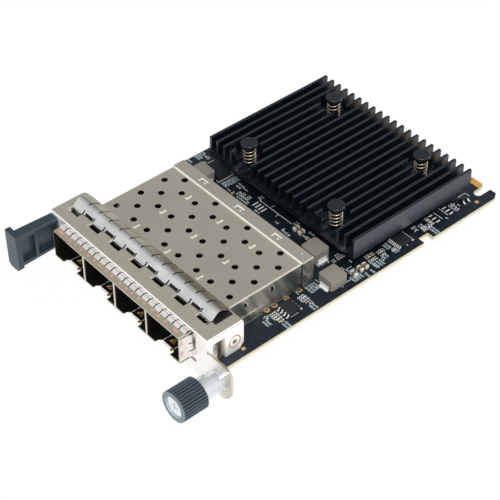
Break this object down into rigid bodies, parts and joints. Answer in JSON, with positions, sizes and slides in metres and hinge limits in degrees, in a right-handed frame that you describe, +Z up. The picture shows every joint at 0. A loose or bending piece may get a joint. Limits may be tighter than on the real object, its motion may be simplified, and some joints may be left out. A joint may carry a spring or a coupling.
{
  "type": "mezzanine network card",
  "caption": "Server mezzanine network card with a row of pluggable module ports, a finned heat sink, a sprung captive thumbscrew and a pull tab.",
  "frame": {"origin": "middle of the card edge on the top face of the board, level with the ends of the two rear ears", "axes": "+Y from the faceplate to the card edge, the way the card is pushed in; +Z up from the board; +X towards the thumbscrew"},
  "size_m": [0.0829, 0.1296, 0.0205],
  "materials": {
    "solder_mask": "black solder mask, semi-gloss",
    "chip_black": "moulded epoxy",
    "thermal_rubber": "soft grey pad",
    "black_anodised": "black anodised",
    "pin_black": "moulded nylon",
    "spring_steel": "bright wire",
    "nickel_sheet": "satin tin plated sheet",
    "bright_strip": "bright tin plated strip",
    "gold_contact": "gold plated",
    "steel": "bright nickel plated",
    "brass_leaf": "plain brass",
    "knob_plastic": "moulded black",
    "tab_plastic": "moulded dark grey black",
    "inductor_grey": "pressed powder, matt grey",
    "tin_terminal": "tinned",
    "ceramic_tan": "fired ceramic",
    "connector_black": "moulded black"
  },
  "bodies": {
    "card": {"bracket_screws": "steel", "cage_base": "nickel_sheet", "cage_cover": "nickel_sheet", "cage_dividers": "nickel_sheet", "cage_floor_flanges": "nickel_sheet", "cage_rear_cover": "nickel_sheet", "cage_walls": "nickel_sheet", "ceramic_capacitors": "ceramic_tan", "chip_capacitors": "ceramic_tan", "chip_leads": "tin_terminal", "chip_resistors": "chip_black", "circuit_board": "solder_mask", "controller_chip": "chip_black", "edge_contacts": "gold_contact", "emi_strip": "bright_strip", "faceplate": "nickel_sheet", "heat_sink": "black_anodised", "inductor_terminals": "tin_terminal", "latch_springs": "brass_leaf", "logic_chips": "chip_black", "port_connector_1": "connector_black", "port_connector_2": "connector_black", "port_connector_3": "connector_black", "port_connector_4": "connector_black", "power_inductors": "inductor_grey", "pull_tab": "tab_plastic", "push_pin_springs": "spring_steel", "push_pins": "pin_black", "side_rivets": "nickel_sheet", "side_springs": "nickel_sheet", "snout_gasket_sides": "bright_strip", "snout_gasket_top": "bright_strip", "thermal_pad": "thermal_rubber", "thumbscrew_sleeve": "steel", "thumbscrew_spring": "spring_steel"},
    "plunger": {"thumbscrew_collar": "steel"},
    "thumbscrew": {"thumbscrew_screw": "steel", "thumbscrew_knob": "knob_plastic"}
  },
  "joints": [
    {"name": "thumbscrew_press", "type": "slide", "parent": "card", "child": "plunger", "axis": [0, 1, 0], "range_m": [0, 0.0042], "stiffness_N_per_m": 300, "springref_m": -0.002, "deforming": ["thumbscrew_spring"]},
    {"name": "thumbscrew_turn", "type": "hinge", "parent": "plunger", "child": "thumbscrew", "pos_m": [0.0401, -0.118, 0.0004], "axis": [0, 1, 0], "continuous": true}
  ]
}
